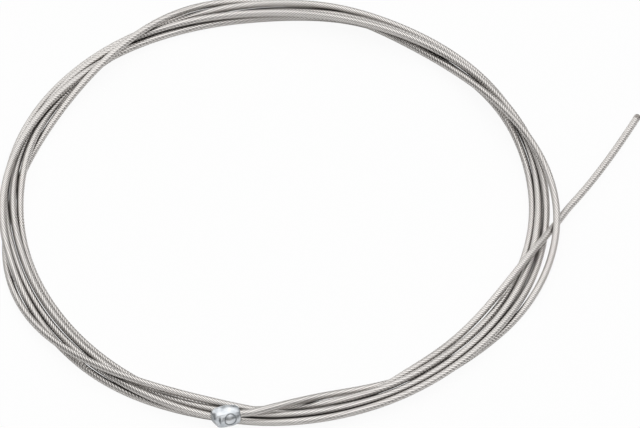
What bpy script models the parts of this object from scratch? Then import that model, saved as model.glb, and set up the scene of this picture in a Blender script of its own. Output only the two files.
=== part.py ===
# A shift inner cable as it is sold: one long stranded steel wire wound in loose flat turns,
# a cast barrel head on its first end and a fused tip on its last end.
# The coil lies on the floor at z = 0. Lengths below are millimetres, and the objects are in metres.

import math

import bpy
import numpy as np
from mathutils import Matrix, Vector

MM = 0.001

# Wire
WIRE_DIAMETER = 1.2
COIL_RADIUS = 44.2
COIL_CENTRE = (-8.01, 0.97)
TURN_STEP_DEGREES = 5
FIRST_DEGREES = -95
LAST_DEGREES = 1800

# Spacing of the turns
TURN_SPACING = 1.26
SPACING_ROUNDS = 200
PULL_ROUNDS = 150
STIFF_ROUNDS = 190
PULL_BACK = 0.02
MOVE_SHARE = 0.8
STIFFNESS = 0.15

# Head
HEAD_CENTRE = (-7.77, -46.96, 4.05)
HEAD_AXIS = (0.965, 0.262, -0.02)
HEAD_LENGTH = 4.6
HEAD_SIDES = 32
SEAT_RADIUS = 1.25
BORE_RADIUS = 0.9
BORE_DEPTH = 2.7
WIRE_IN_BORE = 2.4
DIMPLE_RADIUS = 0.62
DIMPLE_DEPTH = 0.14
DIMPLE_ALONG = 0.75
CROWN_AT_DIMPLE = 1.66
DIMPLE_FACING = (0.0, -0.878, 0.478)
GATE_FACING = (-0.80, -0.45, 0.05)
GATE_DISTANCE = 2.12

# Fused tip
TIP_LENGTH = 0.9
TIP_GAP = 0.3
TIP_SIDES = 16

# The route of the wire, read turn by turn from the head on. Each entry is the direction in degrees
# round the coil, how far outside the coil radius the wire's centre lies, and how high it lies.
TURNS = [
    [(-97, 2.55, 3.95), (-94, 1.75, 3.75), (-90, 0.5, 3.3), (-85, -0.75, 2.45), (-80, -2.3, 1.5),
     (-75, -2.95, 0.65), (-68, -2.85, 0.6), (-60, -1.95, 0.6), (-50, -0.95, 0.6), (-40, -0.4, 0.6),
     (-25, -0.3, 0.6), (5, 0.2, 0.6), (30, 1.15, 0.6), (45, 1.65, 0.6), (60, 1.45, 1.1),
     (80, -0.1, 3.3), (90, 0.1, 2.85), (100, 0.9, 1.6), (115, 1.45, 0.6), (135, 1.6, 0.6),
     (160, 1.4, 0.65), (170, 1.05, 1.1), (180, 0.7, 1.75), (190, 0.35, 1.7), (205, 0.05, 0.75),
     (220, 0.25, 0.8), (240, 1.45, 1.85)],
    [(-95, 2.0, 1.5), (-75, 1.95, 1.8), (-35, 1.3, 1.85), (-15, 1.1, 1.0), (-5, 1.0, 1.4),
     (10, 0.8, 2.9), (20, 0.4, 3.05), (35, 0.05, 2.65), (50, -0.65, 2.7), (65, -2.0, 3.5),
     (75, -2.35, 3.45), (95, -1.4, 2.2), (120, -0.15, 1.9), (140, 0.55, 1.5), (160, 0.15, 1.15),
     (180, -0.55, 1.9), (200, -1.1, 1.4), (220, -0.9, 1.3), (240, -0.1, 1.15)],
    [(-85, 0.8, 2.05), (-55, 0.25, 1.85), (-25, -0.05, 1.85), (-10, -0.2, 1.85), (20, 0.25, 1.8),
     (35, 0.35, 1.4), (50, 0.2, 1.7), (70, -1.25, 2.85), (80, -1.0, 2.45), (90, -0.25, 1.45),
     (105, -0.05, 0.6), (120, -0.05, 0.6), (145, -0.65, 0.9), (165, -1.35, 1.9), (180, -1.75, 1.2),
     (195, -2.0, 0.6), (205, -2.1, 0.6), (230, -1.65, 0.6), (255, -0.7, 0.6)],
    [(-90, -1.25, 0.7), (-85, -1.4, 1.15), (-80, -1.15, 1.6), (-75, -0.6, 1.85), (-65, -0.4, 2.35),
     (-58, -0.7, 2.3), (-50, -1.35, 1.5), (-40, -1.65, 1.05), (-25, -1.65, 0.6), (5, -1.1, 0.9),
     (20, -1.05, 1.9), (30, -1.0, 1.95), (50, -0.65, 0.7), (70, 0.05, 0.6), (90, -1.15, 0.6),
     (105, -1.35, 0.75), (140, -0.65, 2.05), (165, 0.55, 2.5), (180, 1.05, 3.0), (190, 1.2, 2.65),
     (210, 1.3, 0.8), (230, 1.85, 0.6), (260, 1.1, 0.6)],
    [(-75, 1.0, 0.7), (-60, 0.45, 0.6), (-40, 1.2, 0.6), (-25, 2.55, 0.95), (-15, 3.15, 2.3),
     (-5, 2.8, 3.4), (0, 2.5, 3.7), (10, 1.25, 4.1), (25, -0.8, 3.9), (35, -1.55, 2.95),
     (55, -1.5, 1.25), (75, -0.35, 1.85), (100, 2.45, 1.25), (110, 1.6, 2.3), (125, -0.95, 3.3),
     (150, -2.15, 1.2), (170, -1.1, 0.6), (180, -0.05, 0.6), (205, 2.5, 0.8), (220, 2.2, 1.85),
     (235, 0.8, 2.85), (255, -0.8, 2.25)],
    [(-90, -0.4, 1.3), (-85, -0.45, 0.8), (-80, -0.6, 0.6), (-75, -0.75, 0.6), (-70, -1.25, 0.75),
     (-65, -1.6, 1.35), (-60, -2.0, 1.75), (-53, -2.75, 1.25), (-40, -3.25, 0.85), (-30, -2.75, 1.55),
     (-25, -2.05, 2.3), (-15, -0.05, 3.1), (-10, 1.4, 2.65), (-5, 2.95, 2.0), (0, 5.0, 1.5)],
]

# The loose end leaves the coil under one turn and runs out along the floor. The points are
# measured from the coil's centre.
LOOSE_END = [
    (50.6, 2.05, 1.41),
    (52.9, 5.65, 1.22),
    (55.75, 10.55, 0.96),
    (58.0, 14.7, 0.75),
    (60.05, 18.65, 0.61),
    (60.95, 20.4, 0.6),
]

WIRE_RADIUS = WIRE_DIAMETER / 2


def place(point):
    """A point measured from the coil's centre, moved to its place in metres."""
    return Vector(((point[0] + COIL_CENTRE[0]) * MM, (point[1] + COIL_CENTRE[1]) * MM, point[2] * MM))


def smooth_curve(knots, values, at):
    """A smooth curve through the knots, with slopes weighted from the two neighbouring spans."""
    gap = np.diff(knots)
    slope = np.diff(values) / gap
    tangent = np.empty_like(values)
    tangent[1:-1] = (slope[:-1] * gap[1:] + slope[1:] * gap[:-1]) / (gap[1:] + gap[:-1])
    tangent[0] = slope[0]
    tangent[-1] = slope[-1]
    i = np.clip(np.searchsorted(knots, at) - 1, 0, len(knots) - 2)
    t = (at - knots[i]) / gap[i]
    start = (1 + 2 * t) * (1 - t) ** 2 * values[i] + t * (1 - t) ** 2 * gap[i] * tangent[i]
    end = t * t * (3 - 2 * t) * values[i + 1] + t * t * (t - 1) * gap[i] * tangent[i + 1]
    return start + end


def blur(values):
    """Averages each value with its two neighbours and leaves the ends alone."""
    result = values.copy()
    result[1:-1] = 0.25 * values[:-2] + 0.5 * values[1:-1] + 0.25 * values[2:]
    return result


def straighter(values):
    """How far each value moves to make the bend change evenly: the fourth difference, turned round."""
    result = np.zeros_like(values)
    result[2:-2] = (4 * (values[1:-3] + values[3:-1]) - values[:-4] - 6 * values[2:-2] - values[4:]) / 16
    return result


def coil_points():
    """Runs the route round the turns and pushes turns apart wherever two would share a place."""
    knots = []
    for turn, stations in enumerate(TURNS):
        for degrees, out, up in stations:
            knots.append((degrees + 360 * turn, out, up))
    knots = np.array(knots, dtype=float)
    degrees = np.arange(FIRST_DEGREES, LAST_DEGREES + 1, TURN_STEP_DEGREES, dtype=float)
    out = smooth_curve(knots[:, 0], knots[:, 1], degrees)
    up = smooth_curve(knots[:, 0], knots[:, 2], degrees)
    read_out = out.copy()
    read_up = up.copy()
    per_turn = 360 // TURN_STEP_DEGREES
    for step in range(SPACING_ROUNDS):
        push_out = np.zeros_like(out)
        push_up = np.zeros_like(up)
        for turns_apart in range(1, len(TURNS)):
            lag = turns_apart * per_turn
            across = out[lag:] - out[:-lag]
            above = up[lag:] - up[:-lag]
            distance = np.hypot(across, above) + 1e-9
            share = 0.5 * np.clip(TURN_SPACING - distance, 0, None) / distance
            push_out[lag:] += share * across
            push_out[:-lag] -= share * across
            push_up[lag:] += share * above
            push_up[:-lag] -= share * above
            # The same between two steps, where each end takes half of the push.
            across = 0.5 * (across[1:] + across[:-1])
            above = 0.5 * (above[1:] + above[:-1])
            distance = np.hypot(across, above) + 1e-9
            share = 0.25 * np.clip(TURN_SPACING - distance, 0, None) / distance
            for shift in (0, 1):
                later = slice(lag + shift, len(out) - 1 + shift)
                earlier = slice(shift, len(out) - lag - 1 + shift)
                push_out[later] += share * across
                push_out[earlier] -= share * across
                push_up[later] += share * above
                push_up[earlier] -= share * above
        out = out + MOVE_SHARE * blur(blur(push_out))
        up = up + MOVE_SHARE * blur(blur(push_up))
        if step < STIFF_ROUNDS:
            out = out + STIFFNESS * straighter(out)
            up = up + STIFFNESS * straighter(up)
        if step < PULL_ROUNDS:
            out = out + PULL_BACK * (read_out - out)
            up = up + PULL_BACK * (read_up - up)
        up = np.maximum(up, WIRE_RADIUS)
    angle = np.radians(degrees)
    radius = COIL_RADIUS + out
    return [tuple(p) for p in np.stack([radius * np.cos(angle), radius * np.sin(angle), up], axis=-1)]


def wire_points():
    """The whole wire from inside the head to the fused tip."""
    centre = Vector(HEAD_CENTRE)
    axis = Vector(HEAD_AXIS).normalized()
    mouth = centre + axis * (HEAD_LENGTH / 2)
    inside = mouth - axis * WIRE_IN_BORE
    return [tuple(inside), tuple(mouth)] + coil_points() + LOOSE_END


def material(name, colour, metallic, roughness):
    """A plain material with its own colour."""
    made = bpy.data.materials.new(name)
    made.use_nodes = True
    shader = made.node_tree.nodes["Principled BSDF"]
    shader.inputs["Base Color"].default_value = (*colour, 1.0)
    shader.inputs["Metallic"].default_value = metallic
    shader.inputs["Roughness"].default_value = roughness
    return made


def add_mesh(name, vertices, faces, used_material):
    """A named object from vertices and faces."""
    mesh = bpy.data.meshes.new(name)
    mesh.from_pydata(vertices, [], faces)
    mesh.update()
    made = bpy.data.objects.new(name, mesh)
    bpy.context.scene.collection.objects.link(made)
    mesh.materials.append(used_material)
    return made


def shade(made, degrees):
    """Smooth shading, kept sharp where faces meet at more than the given angle."""
    for face in made.data.polygons:
        face.use_smooth = True
    made.data.set_sharp_from_angle(angle=math.radians(degrees))


def turned(name, profile, sides, frame, used_material):
    """A turned piece: the profile's (along, radius) points spun about the frame's Z axis."""
    vertices = []
    rings = []
    for along, radius in profile:
        if radius == 0:
            rings.append([len(vertices)] * sides)
            vertices.append(frame @ Vector((0, 0, along)))
            continue
        rings.append(list(range(len(vertices), len(vertices) + sides)))
        for k in range(sides):
            angle = 2 * math.pi * k / sides
            vertices.append(frame @ Vector((radius * math.cos(angle), radius * math.sin(angle), along)))
    faces = []
    for first, second in zip(rings[:-1], rings[1:]):
        for k in range(sides):
            n = (k + 1) % sides
            corners = []
            for corner in (first[k], first[n], second[n], second[k]):
                if corner not in corners:
                    corners.append(corner)
            faces.append(corners)
    return add_mesh(name, [v * MM for v in vertices], faces, used_material)


def frame_along(origin, axis):
    """A frame at the origin whose Z runs along the axis."""
    turn = Vector(axis).normalized().to_track_quat("Z", "Y").to_matrix().to_4x4()
    return Matrix.Translation(origin) @ turn


def cut(target, cutter):
    """Takes the cutter's shape out of the target."""
    change = target.modifiers.new("cut", "BOOLEAN")
    change.operation = "DIFFERENCE"
    change.solver = "EXACT"
    change.object = cutter
    bpy.context.view_layer.update()
    graph = bpy.context.evaluated_depsgraph_get()
    result = bpy.data.meshes.new_from_object(target.evaluated_get(graph))
    target.modifiers.clear()
    target.data = result
    bpy.data.objects.remove(cutter, do_unlink=True)


for old in list(bpy.data.objects):
    bpy.data.objects.remove(old, do_unlink=True)

steel = material("wire_steel", (0.62, 0.60, 0.57), 1.0, 0.36)
zinc = material("head_zinc", (0.60, 0.63, 0.66), 1.0, 0.42)
fused = material("fused_end", (0.45, 0.44, 0.42), 1.0, 0.45)

# The wire is one round tube along its whole route.
route = wire_points()
curve = bpy.data.curves.new("cable_strand", "CURVE")
curve.dimensions = "3D"
curve.twist_mode = "MINIMUM"
curve.bevel_depth = WIRE_RADIUS * MM
curve.bevel_resolution = 2
curve.use_fill_caps = True
spline = curve.splines.new("POLY")
spline.points.add(len(route) - 1)
for point, where in zip(spline.points, route):
    point.co = (*place(where), 1.0)
spline.use_smooth = True
curve.materials.append(steel)
strand = bpy.data.objects.new("cable_strand", curve)
bpy.context.scene.collection.objects.link(strand)

# The head is a crowned barrel with a flat seat round the wire and a blind bore that holds it.
coil_shift = Vector((COIL_CENTRE[0], COIL_CENTRE[1], 0.0))
half = HEAD_LENGTH / 2
head_frame = frame_along(Vector(HEAD_CENTRE) + coil_shift, HEAD_AXIS)
barrel = [
    (-half, 0.0),
    (-half, 1.0),
    (-2.2, 1.17),
    (-1.98, 1.33),
    (-1.6, 1.48),
    (-0.9, 1.65),
    (0.0, 1.7),
    (0.9, 1.66),
    (1.6, 1.52),
    (1.98, 1.43),
    (2.2, 1.35),
    (half, SEAT_RADIUS),
    (half, BORE_RADIUS),
    (half - BORE_DEPTH, BORE_RADIUS),
    (half - BORE_DEPTH, 0.0),
]
head = turned("cable_head", barrel, HEAD_SIDES, head_frame, zinc)

# A shallow round dimple on the crown, where the ejector pin of the mould pressed.
axis = Vector(HEAD_AXIS).normalized()
facing = Vector(DIMPLE_FACING).normalized()
floor_of_dimple = Vector(HEAD_CENTRE) + coil_shift + axis * DIMPLE_ALONG
floor_of_dimple += facing * (CROWN_AT_DIMPLE - DIMPLE_DEPTH)
pin = turned(
    "pin",
    [(0.0, 0.0), (0.0, DIMPLE_RADIUS), (1.0, DIMPLE_RADIUS), (1.0, 0.0)],
    20,
    frame_along(floor_of_dimple, facing),
    zinc,
)
cut(head, pin)

# A flat on the closed end's edge, where the gate of the mould broke off.
gate = Vector(GATE_FACING).normalized()
gate_frame = frame_along(Vector(HEAD_CENTRE) + coil_shift + gate * GATE_DISTANCE, gate)
breaker = turned("breaker", [(0.0, 0.0), (0.0, 3.0), (2.0, 3.0), (2.0, 0.0)], 12, gate_frame, zinc)
cut(head, breaker)
shade(head, 40)

# The fused tip closes the far end of the wire.
end = Vector(LOOSE_END[-1])
run = (end - Vector(LOOSE_END[-2])).normalized()
tip_profile = [
    (0.0, 0.0),
    (0.0, 0.54),
    (0.12, 0.6),
    (0.55, 0.6),
    (0.76, 0.52),
    (TIP_LENGTH, 0.34),
    (TIP_LENGTH, 0.0),
]
tip_frame = frame_along(end + run * TIP_GAP + coil_shift, run)
tip = turned("fused_tip", tip_profile, TIP_SIDES, tip_frame, fused)
shade(tip, 40)
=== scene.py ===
import bpy
import numpy as np
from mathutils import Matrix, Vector


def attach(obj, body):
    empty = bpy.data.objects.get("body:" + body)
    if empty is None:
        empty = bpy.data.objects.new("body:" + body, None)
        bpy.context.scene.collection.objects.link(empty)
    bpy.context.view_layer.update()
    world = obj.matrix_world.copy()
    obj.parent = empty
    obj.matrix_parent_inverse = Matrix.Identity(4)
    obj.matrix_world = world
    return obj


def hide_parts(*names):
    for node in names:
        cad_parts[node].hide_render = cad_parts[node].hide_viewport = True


# A coiled shift inner cable: laid steel strands, a cast zinc head and a fused tip, on a pale floor.
# The frame is in metres. The sizes of the pieces are in millimetres, and mm turns them into metres.

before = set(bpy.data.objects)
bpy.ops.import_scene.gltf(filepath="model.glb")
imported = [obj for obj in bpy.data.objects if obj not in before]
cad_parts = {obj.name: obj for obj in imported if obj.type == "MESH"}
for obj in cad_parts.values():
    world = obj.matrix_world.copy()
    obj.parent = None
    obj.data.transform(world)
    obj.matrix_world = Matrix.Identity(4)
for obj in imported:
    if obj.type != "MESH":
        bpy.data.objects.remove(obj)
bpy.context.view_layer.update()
mm = 0.001
print("frame loaded:", sorted(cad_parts))


# Settings of the cable's route, the same as in the part's source
route = {
    "centre": (-8.01, 0.97),   # of the coil, from the frame's origin
    "radius": 44.2,
    "step": 5,                 # degrees from one point to the next
    "first": -95,              # degrees at the turns' first point
    "last": 1800,              # and at their last
    "spacing": 1.26,           # least distance between two turns, a little over the wire's width
    "rounds": 200,             # of moving the turns apart
    "pullRounds": 150,         # those that also pull back towards the list below
    "stiffRounds": 190,        # those that also even out the bends
    "pullBack": 0.02,
    "moveShare": 0.8,
    "stiffness": 0.15,
    "lowest": 0.6,             # the wire's own radius, where it lies on the floor
    # One list for each turn: degrees round the coil, mm outside the radius, mm above the floor
    "turns": [
        [(-97, 2.55, 3.95), (-94, 1.75, 3.75), (-90, 0.5, 3.3), (-85, -0.75, 2.45), (-80, -2.3, 1.5),
         (-75, -2.95, 0.65), (-68, -2.85, 0.6), (-60, -1.95, 0.6), (-50, -0.95, 0.6), (-40, -0.4, 0.6),
         (-25, -0.3, 0.6), (5, 0.2, 0.6), (30, 1.15, 0.6), (45, 1.65, 0.6), (60, 1.45, 1.1),
         (80, -0.1, 3.3), (90, 0.1, 2.85), (100, 0.9, 1.6), (115, 1.45, 0.6), (135, 1.6, 0.6),
         (160, 1.4, 0.65), (170, 1.05, 1.1), (180, 0.7, 1.75), (190, 0.35, 1.7), (205, 0.05, 0.75),
         (220, 0.25, 0.8), (240, 1.45, 1.85)],
        [(-95, 2.0, 1.5), (-75, 1.95, 1.8), (-35, 1.3, 1.85), (-15, 1.1, 1.0), (-5, 1.0, 1.4),
         (10, 0.8, 2.9), (20, 0.4, 3.05), (35, 0.05, 2.65), (50, -0.65, 2.7), (65, -2.0, 3.5),
         (75, -2.35, 3.45), (95, -1.4, 2.2), (120, -0.15, 1.9), (140, 0.55, 1.5), (160, 0.15, 1.15),
         (180, -0.55, 1.9), (200, -1.1, 1.4), (220, -0.9, 1.3), (240, -0.1, 1.15)],
        [(-85, 0.8, 2.05), (-55, 0.25, 1.85), (-25, -0.05, 1.85), (-10, -0.2, 1.85), (20, 0.25, 1.8),
         (35, 0.35, 1.4), (50, 0.2, 1.7), (70, -1.25, 2.85), (80, -1.0, 2.45), (90, -0.25, 1.45),
         (105, -0.05, 0.6), (120, -0.05, 0.6), (145, -0.65, 0.9), (165, -1.35, 1.9), (180, -1.75, 1.2),
         (195, -2.0, 0.6), (205, -2.1, 0.6), (230, -1.65, 0.6), (255, -0.7, 0.6)],
        [(-90, -1.25, 0.7), (-85, -1.4, 1.15), (-80, -1.15, 1.6), (-75, -0.6, 1.85), (-65, -0.4, 2.35),
         (-58, -0.7, 2.3), (-50, -1.35, 1.5), (-40, -1.65, 1.05), (-25, -1.65, 0.6), (5, -1.1, 0.9),
         (20, -1.05, 1.9), (30, -1.0, 1.95), (50, -0.65, 0.7), (70, 0.05, 0.6), (90, -1.15, 0.6),
         (105, -1.35, 0.75), (140, -0.65, 2.05), (165, 0.55, 2.5), (180, 1.05, 3.0), (190, 1.2, 2.65),
         (210, 1.3, 0.8), (230, 1.85, 0.6), (260, 1.1, 0.6)],
        [(-75, 1.0, 0.7), (-60, 0.45, 0.6), (-40, 1.2, 0.6), (-25, 2.55, 0.95), (-15, 3.15, 2.3),
         (-5, 2.8, 3.4), (0, 2.5, 3.7), (10, 1.25, 4.1), (25, -0.8, 3.9), (35, -1.55, 2.95),
         (55, -1.5, 1.25), (75, -0.35, 1.85), (100, 2.45, 1.25), (110, 1.6, 2.3), (125, -0.95, 3.3),
         (150, -2.15, 1.2), (170, -1.1, 0.6), (180, -0.05, 0.6), (205, 2.5, 0.8), (220, 2.2, 1.85),
         (235, 0.8, 2.85), (255, -0.8, 2.25)],
        [(-90, -0.4, 1.3), (-85, -0.45, 0.8), (-80, -0.6, 0.6), (-75, -0.75, 0.6), (-70, -1.25, 0.75),
         (-65, -1.6, 1.35), (-60, -2.0, 1.75), (-53, -2.75, 1.25), (-40, -3.25, 0.85), (-30, -2.75, 1.55),
         (-25, -2.05, 2.3), (-15, -0.05, 3.1), (-10, 1.4, 2.65), (-5, 2.95, 2.0), (0, 5.0, 1.5)],
    ],
    # The loose end, as points from the coil's centre
    "looseEnd": [(50.6, 2.05, 1.41), (52.9, 5.65, 1.22), (55.75, 10.55, 0.96),
                 (58.0, 14.7, 0.75), (60.05, 18.65, 0.61), (60.95, 20.4, 0.6)],
}

# Where the head sits at the cable's first end
head = {
    "centre": (-7.77, -46.96, 4.05),   # from the coil's centre
    "axis": (0.965, 0.262, -0.02),     # towards the wire
    "length": 4.6,
    "wireInBore": 2.4,
}


# Vectors made one long: a single one, or a row of them
def unit(vectors):
    return vectors / np.linalg.norm(vectors, axis=-1, keepdims=True)


coilCentre = np.array([*route["centre"], 0.0])
headAxis = unit(np.array(head["axis"]))


# A smooth curve through knots: cubic spans whose slopes are weighted from the two spans beside them
def smoothCurve(knots, values, at):
    gap = np.diff(knots)
    slope = np.diff(values) / gap
    tangent = np.empty_like(values)
    tangent[1:-1] = (slope[:-1] * gap[1:] + slope[1:] * gap[:-1]) / (gap[1:] + gap[:-1])
    tangent[0] = slope[0]
    tangent[-1] = slope[-1]
    i = np.clip(np.searchsorted(knots, at) - 1, 0, len(knots) - 2)
    t = (at - knots[i]) / gap[i]
    start = (1 + 2 * t) * (1 - t) ** 2 * values[i] + t * (1 - t) ** 2 * gap[i] * tangent[i]
    end = t * t * (3 - 2 * t) * values[i + 1] + t * t * (t - 1) * gap[i] * tangent[i + 1]
    return start + end


# Each value averaged with its two neighbours: half its own, and a quarter from each side
def blur(values):
    result = values.copy()
    result[..., 1:-1] = 0.25 * values[..., :-2] + 0.5 * values[..., 1:-1] + 0.25 * values[..., 2:]
    return result


# How far each value moves so that the bend changes evenly: the fourth difference, turned round, over 16
def straighter(values):
    result = np.zeros_like(values)
    beside = 4 * (values[..., 1:-3] + values[..., 3:-1])
    result[..., 2:-2] = (beside - values[..., :-4] - 6 * values[..., 2:-2] - values[..., 4:]) / 16
    return result


# How far two points lie short of one spacing, as a share of the way between them, and 0 beyond it
def missingShare(apart, spacing):
    distance = np.hypot(apart[0], apart[1]) + 1e-9   # never nought
    return np.clip(spacing - distance, 0, None) / distance


# The turns as a list of points from the coil's centre. Wherever two turns at the same direction are
# nearer than one spacing, both move apart along the line between them, a little in every round.
def coilPoints(s):
    knots = np.array([(degree + 360 * k, out, up)
                      for k, turn in enumerate(s["turns"]) for degree, out, up in turn], float)
    degrees = np.arange(s["first"], s["last"] + 1, s["step"], dtype=float)
    read = np.stack([smoothCurve(knots[:, 0], knots[:, k], degrees) for k in (1, 2)])
    at = read   # first row: how far out, second row: how far up
    count = len(degrees)
    for number in range(s["rounds"]):
        push = np.zeros_like(at)
        for turnsApart in range(1, len(s["turns"])):
            lag = turnsApart * 360 // s["step"]
            apart = at[:, lag:] - at[:, :-lag]
            move = 0.5 * missingShare(apart, s["spacing"]) * apart
            push[:, lag:] += move
            push[:, :-lag] -= move
            # The same halfway between two steps, where four points share the move
            apart = 0.5 * (apart[:, 1:] + apart[:, :-1])
            move = 0.25 * missingShare(apart, s["spacing"]) * apart
            for shift in (0, 1):
                push[:, lag + shift:count - 1 + shift] += move
                push[:, shift:count - lag - 1 + shift] -= move
        at = at + s["moveShare"] * blur(blur(push))
        if number < s["stiffRounds"]:
            at = at + s["stiffness"] * straighter(at)
        if number < s["pullRounds"]:
            at = at + s["pullBack"] * (read - at)
        at[1] = np.maximum(at[1], s["lowest"])
    angle = np.radians(degrees)
    radius = s["radius"] + at[0]
    return np.stack([radius * np.cos(angle), radius * np.sin(angle), at[1]], axis=-1)


# The whole route in metres: two points in the head, the turns, and the loose end
def wireRoute():
    mouth = np.array(head["centre"]) + headAxis * head["length"] / 2
    inside = mouth - headAxis * head["wireInBore"]
    points = np.concatenate([[inside, mouth], coilPoints(route), route["looseEnd"]])
    return (points + coilCentre) * mm


# The route read again at even lengths, each coordinate as a smooth curve of the length so far
def evenRoute(points, count):
    along = np.concatenate([[0.0], np.cumsum(np.linalg.norm(np.diff(points, axis=0), axis=1))])
    at = np.linspace(0.0, along[-1], count)
    return np.stack([smoothCurve(along, points[:, k], at) for k in range(3)], axis=-1), at


# Camera and cable first
camera = {
    "target": (7.57, -1.36, 1.2),   # from the coil's centre
    "elevation": 49.6,              # degrees above the floor
    "distance": 1300.0,
    "lens": 438.8,
    "sensor": 36.0,
    "nearest": 0.01,                # what lies between these two shows, in metres
    "farthest": 20.0,
}


def addCamera(s):
    lookFrom = np.radians(s["elevation"])
    target = (np.array(s["target"]) + coilCentre) * mm
    eye = target + s["distance"] * mm * np.array([0.0, -np.cos(lookFrom), np.sin(lookFrom)])
    data = bpy.data.cameras.new("camera")
    data.lens = s["lens"]
    data.sensor_width = s["sensor"]
    data.clip_start = s["nearest"]
    data.clip_end = s["farthest"]
    made = bpy.data.objects.new("camera", data)
    made.location = eye
    made.rotation_euler = Vector(target - eye).to_track_quat("-Z", "Y").to_euler()
    bpy.context.scene.collection.objects.link(made)
    bpy.context.scene.camera = made


addCamera(camera)
print("camera set")

strand = {
    "rings": 4100,
    "wires": 12,
    "crest": 0.6,         # radius over the wires
    "groove": 0.575,      # radius in the grooves between them; the rest of the depth is relief
    "lay": 7.5,           # length in which a wire goes once round
    "hand": -1.0,         # left-hand lay
    "reach": 0.27,        # how far from another turn the painted shade begins
    "wireNumber": 2.6,    # radians from one column to the next, whose sine is the column's own number
}


# Unit side and top of a direction that is never upright: side is square to it and to the vertical,
# and top is square to both
def sideAndTop(direction):
    side = unit(np.cross(direction, [0.0, 0.0, 1.0]))
    return side, np.cross(side, direction)


# A closed skin from a grid of points, rows along it and columns round it, with a fan at each end
def gridMesh(name, grid):
    rows, columns = grid.shape[:2]
    index = np.arange(rows * columns).reshape(rows, columns)
    after = np.roll(index, -1, axis=1)
    quads = np.stack([index[:-1], after[:-1], after[1:], index[1:]], axis=-1).reshape(-1, 4)
    startFan = np.stack([after[0], index[0], np.full(columns, index.size)], axis=-1)
    endFan = np.stack([index[-1], after[-1], np.full(columns, index.size + 1)], axis=-1)
    vertices = np.concatenate([grid.reshape(-1, 3), [grid[0].mean(axis=0), grid[-1].mean(axis=0)]])
    mesh = bpy.data.meshes.new(name)
    mesh.from_pydata(vertices, [], quads.tolist() + startFan.tolist() + endFan.tolist())
    mesh.polygons.foreach_set("use_smooth", np.ones(len(mesh.polygons), dtype=bool))
    mesh.update()
    made = bpy.data.objects.new(name, mesh)
    bpy.context.scene.collection.objects.link(made)
    return made


# One number for each vertex of the grid, read in the materials by its name; the fans' middles get 0
def pointValues(made, name, values):
    full = np.zeros(len(made.data.vertices), dtype=np.float32)
    full[:values.size] = values.ravel()
    layer = made.data.attributes.new(name, "FLOAT", "POINT")
    layer.data.foreach_set("value", full)


# How close each point of the strand's skin comes to another turn's skin: the line is read again one,
# two and more whole turns away round the coil, and gap is the shortest distance less the radius.
# The value is exp(-(gap / reach)^2), so 1 where two turns touch and 0 in the open; it masks the painted
# shade there.
def crevices(line, grid, s):
    middle = coilCentre * mm
    winding = np.unwrap(np.arctan2(line[:, 1] - middle[1], line[:, 0] - middle[0]))
    winding = np.maximum.accumulate(winding)
    nearest = np.ones(grid.shape[:2])   # a metre, so no other turn at all
    most = len(route["turns"]) - 1
    for turnsAway in (*range(-most, 0), *range(1, most + 1)):
        there = winding + 2 * np.pi * turnsAway
        other = np.stack([np.interp(there, winding, line[:, k]) for k in range(3)], axis=-1)
        apart = np.linalg.norm(grid - other[:, None], axis=-1)
        onCable = (there > winding[0]) & (there < winding[-1])
        nearest = np.where(onCable[:, None], np.minimum(nearest, apart), nearest)
    gap = np.clip(nearest - s["crest"] * mm, 0, None)
    return np.exp(-(gap / (s["reach"] * mm)) ** 2)


# The laid cable: a section with a crest for each wire and a groove beside it, carried along the route
# and turned once in every lay, so that point i of a ring at length x is at i * pitch + turn * x / lay
def makeStrand(points, s):
    line, along = evenRoute(points, s["rings"])
    line[:, 2] = np.maximum(line[:, 2], s["crest"] * mm)
    side, top = sideAndTop(unit(np.gradient(line, axis=0)))
    columns = np.arange(2 * s["wires"])
    isGroove = columns % 2
    radius = np.where(isGroove, s["groove"], s["crest"]) * mm
    angle = columns * np.pi / s["wires"] + s["hand"] * 2 * np.pi * along[:, None] / (s["lay"] * mm)
    grid = line[:, None] + radius[None, :, None] * (
        np.cos(angle)[..., None] * side[:, None] + np.sin(angle)[..., None] * top[:, None])
    made = gridMesh("laid_strands", grid)
    values = {
        "groove": isGroove,
        "turn": np.sin(columns * s["wireNumber"]),
        "along": along[:, None],
        "crevice": crevices(line, grid, s),
    }
    for name, value in values.items():
        pointValues(made, name, np.broadcast_to(value, grid.shape[:2]))
    return made, line


points = wireRoute()
laidStrands, centreLine = makeStrand(points, strand)


# Wraps a node socket, so that sums and products of sockets and numbers add their Math nodes
class Value:
    def __init__(self, shader, socket):
        self.shader, self.socket = shader, socket

    def maths(self, operation, *values):
        return self.shader.node("ShaderNodeMath", {"operation": operation}, dict(enumerate(values)))

    def __add__(self, other):
        return self.maths("ADD", self, other)

    def __radd__(self, other):
        return self.maths("ADD", other, self)

    def __sub__(self, other):
        return self.maths("SUBTRACT", self, other)

    def __rsub__(self, other):
        return self.maths("SUBTRACT", other, self)

    def __mul__(self, other):
        return self.maths("MULTIPLY", self, other)

    def __rmul__(self, other):
        return self.maths("MULTIPLY", other, self)

    def __pow__(self, other):
        return self.maths("POWER", self, other)


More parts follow.
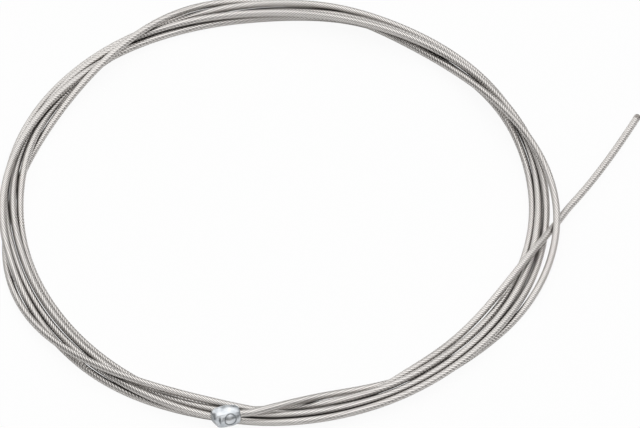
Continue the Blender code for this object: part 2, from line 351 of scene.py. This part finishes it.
# The node tree of a material or a world under construction. node() adds a node, sets its settings,
# then its sockets, and gives one of its outputs back as a Value. drive() links a Value to a socket
# of the tree's own surface node, and fixed holds that node's constants.
class Shader:
    def __init__(self, owner, fixed, surface="Principled BSDF"):
        owner.use_nodes = True
        self.owner, self.tree = owner, owner.node_tree
        self.surface = self.tree.nodes[surface]
        for socket, value in fixed.items():
            self.surface.inputs[socket].default_value = value

    def node(self, kind, settings=None, sockets=None, output=0):
        made = self.tree.nodes.new(kind)
        for setting, value in (settings or {}).items():
            setattr(made, setting, value)
        for socket, value in (sockets or {}).items():
            if isinstance(value, Value):
                self.tree.links.new(value.socket, made.inputs[socket])
            else:
                made.inputs[socket].default_value = value
        return Value(self, made.outputs[output])

    def drive(self, socket, value):
        self.tree.links.new(value.socket, self.surface.inputs[socket])

    def cover(self, factor, over):
        under = Value(self, self.surface.outputs[0])
        mix = self.node("ShaderNodeMixShader", None, {0: factor, 1: under, 2: over})
        self.tree.links.new(mix.socket, self.tree.nodes["Material Output"].inputs["Surface"])

    def where(self):
        return self.node("ShaderNodeTexCoord", output="Object")

    def pointValue(self, name):
        return self.node("ShaderNodeAttribute", {"attribute_name": name}, output="Fac")

    def noise(self, where, scale, detail=3.0, roughness=0.5):
        return self.node("ShaderNodeTexNoise", None,
                         {"Vector": where, "Scale": scale, "Detail": detail, "Roughness": roughness})

    # A value spread from low..high to toLow..toHigh, and held there
    def clamped(self, value, low, high, toLow=0.0, toHigh=1.0):
        ends = {"From Min": low, "From Max": high, "To Min": toLow, "To Max": toHigh}
        return self.node("ShaderNodeMapRange", {"clamp": True}, {"Value": value, **ends})

    # A Mix node's colours are its sockets 6 and 7, and its output 2
    def mixed(self, factor, first, second):
        sockets = {0: factor, 6: first, 7: second}
        return self.node("ShaderNodeMix", {"data_type": "RGBA"}, sockets, output=2)

    def bumped(self, strength, distance, height):
        sockets = {"Strength": strength, "Distance": distance, "Height": height}
        self.drive("Normal", self.node("ShaderNodeBump", None, sockets))


noiseSpread = (0.3, 0.7)   # where most values of a noise lie

wireFinish = {
    "bright": (0.93, 0.90, 0.875, 1.0),
    "dull": (0.79, 0.76, 0.73, 1.0),
    # painted shade between the wires, darkest in the grooves
    "groove": (0.16, 0.145, 0.13, 1.0),
    "touchShade": (0.055, 0.045, 0.04, 1.0),   # painted shade where two turns touch
    "metallic": 0.85,                   # the rest scatters evenly, as many thin wires do
    "roughness": (0.27, 0.40),
    "acrossWires": 4.0,                 # stretches the drawn noise from wire to wire
    "alongWires": 90.0,                 # and along them, in its features to a metre
    "cloudScale": 160.0,
    "drawnShare": 0.6,                  # of the tone, and the cloud has the rest
    "toneSpread": (0.34, 0.66),         # noise that gives dull, and bright
    "grooveSpread": (0.35, 0.92),       # how near a groove the painted shade begins, and is darkest
    "groovePower": 1.3,
    "roundness": 0.85,                  # how much of a full half circle each wire's relief is
    "fineScale": 2600.0,
    "fineShare": 0.05,                  # height of the finest grain, as a share of a wire's relief
    "detail": 2.0,                      # octaves of each of the three noises
    "bump": 0.4,
    "wireHeight": 0.0001,               # relief of one wire, in metres
}


# Bright drawn steel. groove is 0 on a wire's crest and 1 between wires, so that the relief of a round
# wire is sqrt(1 - roundness * groove^2), and painted shade darkens the steel as it nears the groove.
def steelMaterial(s):
    made = Shader(bpy.data.materials.new("drawn_steel"), {"Metallic": s["metallic"]})
    where = made.where()
    groove = made.pointValue("groove")
    across = made.pointValue("turn") * s["acrossWires"]
    along = made.pointValue("along") * s["alongWires"]
    drawn = made.node("ShaderNodeCombineXYZ", None, {"X": across, "Y": along})
    tone = made.noise(drawn, 1.0, s["detail"])
    cloud = made.noise(where, s["cloudScale"], s["detail"])
    grey = made.clamped(tone * s["drawnShare"] + cloud * (1 - s["drawnShare"]), *s["toneSpread"])
    body = made.mixed(grey, s["dull"], s["bright"])
    # painted shade towards the grooves between the wires
    shade = made.clamped(groove, *s["grooveSpread"]) ** s["groovePower"]
    strands = made.mixed(shade, body, s["groove"])
    # painted shade where two turns touch, masked by crevice
    made.drive("Base Color", made.mixed(made.pointValue("crevice"), strands, s["touchShade"]))
    made.drive("Roughness", made.clamped(cloud, *noiseSpread, *s["roughness"]))
    relief = (1 - groove ** 2 * s["roundness"]) ** 0.5
    fine = made.noise(where, s["fineScale"], s["detail"])
    made.bumped(s["bump"], s["wireHeight"], relief + fine * s["fineShare"])
    return made.owner


laidStrands.data.materials.append(steelMaterial(wireFinish))
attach(laidStrands, "root")
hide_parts("cable_strand")
print("cable declared")


# The head's shape and the marks that casting leaves on it. A facing is a direction square to the
# axis, by its last two numbers, and an along is measured from the middle towards the wire.
casting = {
    "rows": 150,
    "columns": 180,
    "closedRings": 10,          # on the closed end's face
    "seatRings": 8,             # and on the seat's face
    "firstRing": 0.02,          # the closed face's first ring, as a share of its radius
    "faceEdge": 0.94,           # share of an end's radius at which its flat face stops
    "crown": 1.76,              # radius at the middle
    "closedEnd": 0.95,          # radius at the closed end
    "seatEnd": 1.15,            # radius at the end that the wire leaves
    "lengthPower": 2.6,         # how long the crown stays full towards the ends
    "roundPower": 0.56,         # how roundly it falls there
    "endFade": 6,               # lumps and parting line fade in from an end over 1 / endFade of t
    "boreRadius": 0.66,
    "boreDepth": 0.8,
    "partingHeight": 0.035,
    "partingWidth": 0.09,
    "partingTurn": 62.0,        # degrees round the axis
    "pinAlong": 0.42,
    "pinFacing": (-0.872, 0.43),
    "pinRadius": 0.95,
    "pinDepth": 0.06,
    "pinEdge": 0.025,           # softness of the dish's edge
    "pinReach": 0.9,            # how deep the mark is looked for, so that only one side has it
    "rimAway": 0.07,            # outside the dish
    "rimWidth": 0.06,
    "rimHeight": 0.06,
    "slotAlong": -1.27,
    "slotFacing": (-0.895, 0.446),
    "slotLength": 0.6,
    "slotWidth": 0.14,
    "slotDepth": 0.09,
    "gateFacing": (-0.72, -0.62, -0.30),
    "gateDistance": 2.02,
    "gateCut": 0.85,            # share of what stands beyond the gate's plane that is taken off
    "ripple": 0.02,             # height of the casting's lumps
    "darkRingWidth": 0.11,         # of the painted shade round the pin dish's edge
    "endDarkening": 0.5,            # darkening on both ends and in the bore
    "endFrom": 0.3,             # an end is where that fade is still below this
}


# The profile from the middle of the closed end over the crown to the seat and down the bore. With t
# from -1 to 1 along the barrel, its radius is end + (crown - end) * (1 - |t|^lengthPower)^roundPower.
def headProfile(s):
    half = head["length"] / 2
    t = np.linspace(-1.0, 1.0, s["rows"])
    ends = np.where(t < 0, s["closedEnd"], s["seatEnd"])
    barrel = ends + (s["crown"] - ends) * (1 - np.abs(t) ** s["lengthPower"]) ** s["roundPower"]
    closed = np.linspace(s["firstRing"], s["faceEdge"], s["closedRings"]) * s["closedEnd"]
    seat = np.linspace(s["faceEdge"] * s["seatEnd"], s["boreRadius"], s["seatRings"])
    along = np.concatenate([np.full(s["closedRings"], -half), half * t,
                            np.full(s["seatRings"], half), [half - s["boreDepth"]]])
    radius = np.concatenate([closed, barrel, seat, [s["boreRadius"]]])
    onCrown = np.zeros(len(radius))
    barrelRows = slice(s["closedRings"], s["closedRings"] + s["rows"])
    onCrown[barrelRows] = np.clip((1 - np.abs(t)) * s["endFade"], 0, 1)
    return along[:, None], radius[:, None], onCrown[:, None]


# The head: the profile turned about the axis, with the small lumps of a casting as a sum of slow
# waves. The mould's parting line stands proud along two sides as exp(-(distance / width)^2), the pin
# mark is a round dish with a raised rim, the slot is a short cut round the axis near the closed end,
# and the gate flat is the surface cut back towards a plane.
def makeHead(s):
    along, radius, onCrown = headProfile(s)
    side, top = sideAndTop(headAxis)
    angle = np.linspace(0, 2 * np.pi, s["columns"], endpoint=False)
    lumps = (np.sin(3 * angle + 2.1 * along) * np.sin(2.3 * along + 0.7)
             + 0.6 * np.sin(5 * angle - 3.7 * along + 1.3))
    r = radius + s["ripple"] * lumps * onCrown
    apart = np.abs(np.sin(angle - np.radians(s["partingTurn"]))) * radius
    r = r + s["partingHeight"] * np.exp(-(apart / s["partingWidth"]) ** 2) * onCrown
    out = np.cos(angle)[:, None] * side + np.sin(angle)[:, None] * top
    grid = along[..., None] * headAxis + r[..., None] * out

    pin = np.array([0.0, *s["pinFacing"]])
    pin = unit(pin - headAxis * (pin @ headAxis))
    away = grid - (headAxis * s["pinAlong"] + pin * s["crown"])
    flat = np.linalg.norm(away - (away @ pin)[..., None] * pin, axis=-1)
    near = (np.abs(away @ pin) < s["pinReach"]) & (onCrown > 0)
    dish = -s["pinDepth"] / (1 + np.exp((flat - s["pinRadius"]) / s["pinEdge"]))
    rim = s["rimHeight"] * np.exp(-((flat - s["pinRadius"] - s["rimAway"]) / s["rimWidth"]) ** 2)
    grid = grid + (near * (dish + rim))[..., None] * pin

    slot = np.array([0.0, *s["slotFacing"]])
    roundAxis = np.cross(headAxis, slot)
    fromSlot = (((along - s["slotAlong"]) / s["slotWidth"]) ** 2
                + ((grid @ roundAxis) / s["slotLength"]) ** 4)
    cutIn = np.exp(-fromSlot) * (grid @ slot > 0)
    grid = grid - (s["slotDepth"] * cutIn)[..., None] * slot

    gate = unit(np.array(s["gateFacing"]))
    beyond = np.clip(grid @ gate - s["gateDistance"], 0, None)
    grid = grid - (s["gateCut"] * beyond)[..., None] * gate

    made = gridMesh("zinc_head", (grid + (np.array(head["centre"]) + coilCentre)) * mm)
    # painted shade in the slot and round the pin dish's edge, and darker ends and bore
    ring = near * np.exp(-((flat - s["pinRadius"]) / s["darkRingWidth"]) ** 2)
    ends = s["endDarkening"] * (onCrown < s["endFrom"])
    pointValues(made, "darkening", np.clip(ring + cutIn + ends, 0, 1))
    return made


zincHead = makeHead(casting)
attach(zincHead, "root")
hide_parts("cable_head")

bead = {
    "start": 0.5,         # how far back over the wires it begins
    "length": 0.65,       # and how far it reaches beyond their end
    "rows": 40,
    "columns": 48,
    "radius": 0.592,
    "domeFrom": 0.55,     # share of the length at which its end begins to close
    "domePower": 2.6,
    "lobe": 0.02,         # height of the twelve wires' outline where the bead begins
    "lobeFade": 1.6,      # that outline is gone after 1 / lobeFade of the length
    "lobeLeast": 0.3,     # and stops where the dome is thinner than this
    "sag": 0.03,          # the melted metal is a little thicker on one side
    "sagTurn": 2.0,       # radians that this side turns along the length
    "thinnest": 0.01,
    "runRings": 12,       # last rings of the strand, which give the bead its direction
}


# The fused tip: with t from 0 to 1 along it, the radius is a cylinder's up to domeFrom and closes as
# sqrt(1 - u^domePower), where u goes from 0 to 1 over the rest. The wires' outline fades along it.
def makeTip(line, s):
    end = line[-1]
    run = unit(end - line[-s["runRings"]])
    side, top = sideAndTop(run)
    t = np.linspace(0, 1, s["rows"])[:, None]
    along = -s["start"] + t * (s["length"] + s["start"])
    closing = np.clip((t - s["domeFrom"]) / (1 - s["domeFrom"]), 0, 1)
    body = s["radius"] * (1 - closing ** s["domePower"]) ** 0.5
    angle = np.linspace(0, 2 * np.pi, s["columns"], endpoint=False)
    turn = strand["hand"] * 2 * np.pi * along / strand["lay"]
    fade = np.clip(1 - t * s["lobeFade"], 0, 1) * (body > s["lobeLeast"])
    lobes = s["lobe"] * np.cos(strand["wires"] * (angle - turn)) * fade
    sag = s["sag"] * np.sin(angle + s["sagTurn"] * t) * t * (1 - t)
    r = np.maximum(body + lobes + sag, s["thinnest"])
    out = np.cos(angle)[:, None] * side + np.sin(angle)[:, None] * top
    return gridMesh("melted_tip", end + (along[..., None] * run + r[..., None] * out) * mm)


meltedTip = makeTip(centreLine, bead)
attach(meltedTip, "root")
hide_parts("fused_tip")
print("head and tip made")

zincFinish = {
    "light": (0.82, 0.84, 0.86, 1.0),
    "dark": (0.54, 0.575, 0.61, 1.0),
    # painted shade in the slot and round the pin dish's edge, and darker ends and bore
    "darkening": (0.14, 0.15, 0.16, 1.0),
    "darkeningShare": 0.85,
    "roughness": (0.24, 0.42),
    "cloudScale": 700.0,
    "grainScale": 3800.0,
}
fusedFinish = {
    "light": (0.46, 0.43, 0.41, 1.0),
    "dark": (0.20, 0.18, 0.165, 1.0),
    "roughness": (0.35, 0.5),
    "cloudScale": 2200.0,
    "grainScale": 6000.0,
}
cloudy = {
    "detail": 4.0,
    "noiseRoughness": 0.6,
    "greySpread": (0.35, 0.65),   # noise that gives dark, and light
    "sheenScale": 2.3,            # the roughness changes this much faster than the grey
    "bump": 0.35,
    "grainHeight": 0.00004,       # in metres
}


# Cast zinc and melted steel: a cloudy mix of two greys, darkened where the finish has a darkening colour
# (on the zinc: painted shade in the slot and round the pin dish's edge, and darker ends and bore), with
# a faint grain. c holds what both have in common.
def cloudyMetal(name, s, c):
    made = Shader(bpy.data.materials.new(name), {"Metallic": 1.0})
    where = made.where()
    cloud = made.noise(where, s["cloudScale"], c["detail"], c["noiseRoughness"])
    colour = made.mixed(made.clamped(cloud, *c["greySpread"]), s["dark"], s["light"])
    if "darkening" in s:
        colour = made.mixed(made.pointValue("darkening") * s["darkeningShare"], colour, s["darkening"])
    made.drive("Base Color", colour)
    sheen = made.noise(where, s["cloudScale"] * c["sheenScale"])
    made.drive("Roughness", made.clamped(sheen, *noiseSpread, *s["roughness"]))
    made.bumped(c["bump"], c["grainHeight"], made.noise(where, s["grainScale"]))
    return made.owner


zincHead.data.materials.append(cloudyMetal("cast_zinc", zincFinish, cloudy))
meltedTip.data.materials.append(cloudyMetal("melted_steel", fusedFinish, cloudy))
print("finishes made")

white = (1.0, 1.0, 1.0, 1.0)

# Floor and backdrop in one, in metres: a pale sheet that shows white to the camera and keeps the
# cable's shadow
stage = {
    "size": 6.0,
    "colour": (0.90, 0.90, 0.90, 1.0),
    "roughness": 0.9,
    "lift": 0.93,        # share of plain white that the camera sees
    "metalLift": 0.12,   # and that the metal's reflections see, low so that narrow gaps stay dark
}


def makeFloor(s):
    half = s["size"] / 2
    corners = [(-half, -half, 0), (half, -half, 0), (half, half, 0), (-half, half, 0)]
    mesh = bpy.data.meshes.new("floor")
    mesh.from_pydata(corners, [], [(0, 1, 2, 3)])
    made = bpy.data.objects.new("floor", mesh)
    bpy.context.scene.collection.objects.link(made)
    fixed = {"Roughness": s["roughness"], "Base Color": s["colour"]}
    paint = Shader(bpy.data.materials.new("floor_paint"), fixed)
    plain = paint.node("ShaderNodeEmission", None, {"Color": white, "Strength": 1.0})
    toCamera = paint.node("ShaderNodeLightPath", output="Is Camera Ray")
    toMetal = paint.node("ShaderNodeLightPath", output="Is Glossy Ray")
    paint.cover(toCamera * s["lift"] + toMetal * s["metalLift"], plain)
    mesh.materials.append(paint.owner)


makeFloor(stage)

# Light from above, a key lamp at the back left, and a weaker one in front for the head; in metres
light = {
    "towards": (0.20, 0.13, 0.82),   # the world's lit side: above, a little to the right and behind
    "overhead": 1.38,                # the world's strength on that side
    "horizon": 0.10,                 # and away from it, low down all round
    "fade": (0.29, 0.8),             # how far towards the lit side it begins to rise, and is full
    "key": {"at": (-0.65, 0.9, 0.35), "size": 1.1, "power": 4.0},
    "fill": {"at": (-0.3, -1.1, 0.35), "size": 0.9, "power": 2.0},
}


# A square lamp that shines at the origin
def addLamp(name, s):
    data = bpy.data.lights.new(name, "AREA")
    data.size = s["size"]
    data.energy = s["power"]
    made = bpy.data.objects.new(name, data)
    made.location = s["at"]
    made.rotation_euler = Vector([-c for c in s["at"]]).to_track_quat("-Z", "Y").to_euler()
    bpy.context.scene.collection.objects.link(made)


# A plain studio: white light whose strength rises smoothly from horizon to overhead, as the dot
# product of its direction and towards goes from the first number of fade to the second
def makeWorld(s):
    studio = Shader(bpy.data.worlds.new("studio"), {"Color": white}, surface="Background")
    where = studio.node("ShaderNodeTexCoord", output="Generated")
    facing = studio.node("ShaderNodeVectorMath", {"operation": "DOT_PRODUCT"},
                         {0: where, 1: s["towards"]}, output="Value")
    low, high = s["fade"]
    ends = {"From Min": low, "From Max": high, "To Min": s["horizon"], "To Max": s["overhead"]}
    strength = studio.node("ShaderNodeMapRange", {"interpolation_type": "SMOOTHSTEP"},
                           {"Value": facing, **ends})
    studio.drive("Strength", strength)
    bpy.context.scene.world = studio.owner


for name in ("key", "fill"):
    addLamp(name, light[name])
makeWorld(light)
bpy.context.scene.view_settings.view_transform = "Standard"
print("stage and lights set")
